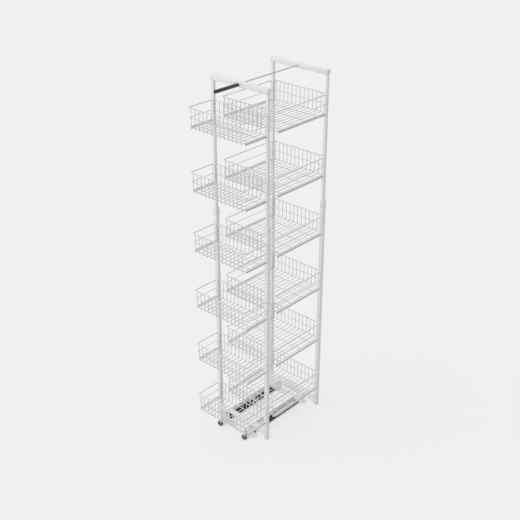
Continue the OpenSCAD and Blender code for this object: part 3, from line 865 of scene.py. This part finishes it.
def weld_fillet(place):
    """The melted collar where an upright meets the underside of the rim."""
    deselect()
    bpy.ops.mesh.primitive_circle_add(vertices=WIRE_SIDES, radius=FILLET_R, location=place)
    piece = settle(bpy.context.object, "fillet")
    bpy.ops.object.mode_set(mode="EDIT")
    bpy.ops.mesh.select_mode(type="VERT")
    bpy.ops.mesh.select_all(action="SELECT")
    for rise, spread in FILLET_RISES:
        bpy.ops.mesh.extrude_region_move(TRANSFORM_OT_translate={"value": (0, 0, rise)})
        bpy.ops.transform.resize(value=(spread, spread, 1))
    bpy.ops.mesh.select_all(action="SELECT")
    bpy.ops.mesh.fill_holes(sides=0)
    bpy.ops.mesh.normals_make_consistent(inside=False)
    bpy.ops.object.mode_set(mode="OBJECT")
    bpy.ops.object.shade_smooth_by_angle(angle=SHARP)
    return piece


def weld_nugget(place, stretch):
    """The pressed metal between two crossed wires."""
    deselect()
    bpy.ops.mesh.primitive_uv_sphere_add(
        segments=10, ring_count=6, radius=MESH_R, location=place
    )
    bpy.ops.transform.resize(value=stretch)
    piece = settle(bpy.context.object, "nugget")
    bpy.ops.object.shade_smooth()
    return piece


def side_rail(side, depth):
    """A channel rolled from strip, its groove turned outwards."""
    centre = (side * (RAIL_IN + RAIL_OUT) / 2, RAIL_START, (RAIL_BOTTOM + RAIL_TOP) / 2)
    deselect()
    bpy.ops.mesh.primitive_plane_add(
        size=1, location=centre, rotation=(math.radians(90), 0, 0)
    )
    bpy.ops.transform.resize(value=(RAIL_OUT - RAIL_IN, 1, RAIL_TOP - RAIL_BOTTOM))
    piece = settle(bpy.context.object, "side_rail")
    bpy.ops.object.mode_set(mode="EDIT")
    groove_x = side * (RAIL_OUT - RAIL_GROOVE)
    low, high = RAIL_BOTTOM + RAIL_LIP, RAIL_TOP - RAIL_LIP
    for place, across in (
        ((0, 0, low), (0, 0, 1)),
        ((0, 0, high), (0, 0, 1)),
        ((groove_x, 0, 0), (1, 0, 0)),
    ):
        bpy.ops.mesh.select_all(action="SELECT")
        bpy.ops.mesh.bisect(plane_co=place, plane_no=across)
    pick(
        piece,
        "FACE",
        lambda face: side * middle(face).x > side * groove_x
        and low < middle(face).z < high,
    )
    bpy.ops.mesh.delete(type="FACE")
    bpy.ops.mesh.select_all(action="SELECT")
    bpy.ops.mesh.extrude_region_move(
        TRANSFORM_OT_translate={"value": (0, depth - RAIL_START, 0)}
    )
    bpy.ops.mesh.select_all(action="SELECT")
    bpy.ops.mesh.dissolve_limited(angle_limit=FLAT)
    bpy.ops.mesh.normals_make_consistent(inside=False)
    bpy.ops.object.mode_set(mode="OBJECT")
    round_edges(piece, RAIL_EDGE, segments=3)
    return piece


def in_the_groove(face):
    """Whether a face of a side rail is the floor or a wall of its groove, the faces that get
    the darker coat as painted shade.
    """
    place = middle(face)
    low, high = RAIL_BOTTOM + RAIL_LIP - GROOVE_REACH, RAIL_TOP - RAIL_LIP + GROOVE_REACH
    near, far = RAIL_OUT - RAIL_GROOVE - GROOVE_SLACK, RAIL_OUT - GROOVE_SLACK
    return near < abs(place.x) < far and low < place.z < high


def tab(side, depth, thickness, post_x):
    """The pressed tab between the side wires and the tube, with its bolt hole."""
    high, low = BASKET_TOP, RAIL_BOTTOM
    centre = (side * post_x, depth + thickness / 2, (high + low) / 2)
    piece = box_at("tab", centre, (TAB_W, thickness, high - low))
    bpy.ops.object.mode_set(mode="EDIT")
    pick(
        piece,
        "EDGE",
        lambda edge: abs(edge.verts[0].co.y - edge.verts[1].co.y) > thickness / 2,
    )
    bpy.ops.mesh.bevel(offset=TAB_CORNER, segments=5)
    bpy.ops.object.mode_set(mode="OBJECT")
    place = (side * post_x, depth + thickness / 2, TAB_HOLE_Z)
    cut(piece, cylinder("drill", TAB_HOLE_R, 3 * thickness, place, "Y"))
    round_edges(piece, COAT_EDGE)
    return piece


wire_chrome = chrome("wire_chrome", CHROME, roughness=0.17)
rail_silver = powder_coat("rail_silver", RAIL_SILVER, roughness=0.35, shine=0.6)
# A darker grey coat for the floor and walls of the rails' groove: painted shade, standing in
# for the shadow inside the groove.
groove_painted_shade = powder_coat("groove_painted_shade", GROOVE_PAINTED_SHADE, roughness=0.5)
weld_colour = tuple(WELD_LEVEL * part for part in CHROME)
weld_chrome = chrome("weld_chrome", weld_colour, roughness=0.3)
for end, depth, side_depth, crosses in (
    ("front", FRONT_DEPTH, FRONT_SIDES, FRONT_CROSSES),
    ("rear", REAR_DEPTH, REAR_SIDES, REAR_CROSSES),
):
    pitch = 2 * MESH_HALF / (MESH_COUNT - 1)
    rim_z, belt_z = BASKET_TOP - RIM_R, BASKET_TOP / 2
    wires = [
        mesh_wires(depth),
        side_wires("rim", rim_z, RIM_R, 0, side_depth, RIM_SIDES),
        side_wires("belt", belt_z, MESH_R, BELT_IN, side_depth, WIRE_SIDES),
        rear_wire("rear_rim", depth - RIM_R, rim_z, RIM_R, RIM_SIDES),
        rear_wire("rear_belt", depth - RIM_R - BELT_IN, belt_z, MESH_R, WIRE_SIDES),
        foot_wire(RIM_R + 2 * MESH_R),
        foot_wire(depth - RIM_R - 2 * MESH_R),
    ]
    rails = [side_rail(side, side_depth) for side in (-1, 1)]
    welds = []
    fillet = weld_fillet((-MESH_HALF, RIM_R, rim_z - RIM_R - FILLET_BELOW))
    nugget = weld_nugget((-MESH_HALF, RIM_R + BELT_IN / 2, belt_z), BELT_NUGGET)
    for weld, back in ((fillet, depth - 2 * RIM_R), (nugget, depth - 2 * RIM_R - BELT_IN)):
        in_a_row(weld, MESH_COUNT, (pitch, 0, 0))
        in_a_row(weld, 2, (0, back, 0))
        welds.append(weld)
    for step in range(crosses):
        y = RAIL_START + (side_depth - RAIL_START) * (step + 0.5) / crosses
        run = [(2 * RAIL_IN, 0, 0)]
        wires.append(wire("cross", (-RAIL_IN, y, CROSS_Z), "X", MESH_R, run))
        weld = weld_nugget((-MESH_HALF, y, (CROSS_Z + MESH_R) / 2), FLOOR_NUGGET)
        in_a_row(weld, MESH_COUNT, (pitch, 0, 0))
        welds.append(weld)
    body = joined(wires, end + "_basket_body")
    dress(body, wire_chrome)
    weld = joined(welds, end + "_basket_welds")
    dress(weld, weld_chrome)
    rail = joined(rails, end + "_basket_rails")
    dress(rail, rail_silver)
    # The groove's faces take the darker coat, which is painted shade in the groove.
    rail.data.materials.append(groove_painted_shade)
    select_only(rail)
    bpy.ops.object.mode_set(mode="EDIT")
    pick(rail, "FACE", in_the_groove)
    rail.active_material_index = 1
    bpy.ops.object.material_slot_assign()
    bpy.ops.object.mode_set(mode="OBJECT")
    body = joined([body, weld, rail], end + "_basket_body")
    for level in range(1, LOWER_ROWS + UPPER_ROWS + 1):
        node = f"{end}_basket_{level}"
        lo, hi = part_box(node)
        part = "lower" if level <= LOWER_ROWS else "upper"
        post_lo, post_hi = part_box(f"{part}_post_{end}_right")
        thickness = post_lo.y - lo.y - side_depth
        post_x = (post_lo.x + post_hi.x) / 2
        tabs = [tab(side, side_depth, thickness, post_x) for side in (-1, 1)]
        for piece in tabs:
            dress(piece, frame_coat)
        basket = copied(body, "basket_copy", (0, 0, 0))
        basket = joined([basket, *tabs], "chromed_" + node)
        select_only(basket)
        bpy.ops.transform.translate(value=(0, lo.y, lo.z - RAIL_BOTTOM))
        bpy.ops.object.transform_apply(location=True, rotation=True, scale=True)
        stand_for(basket, node)
    bpy.data.objects.remove(body)
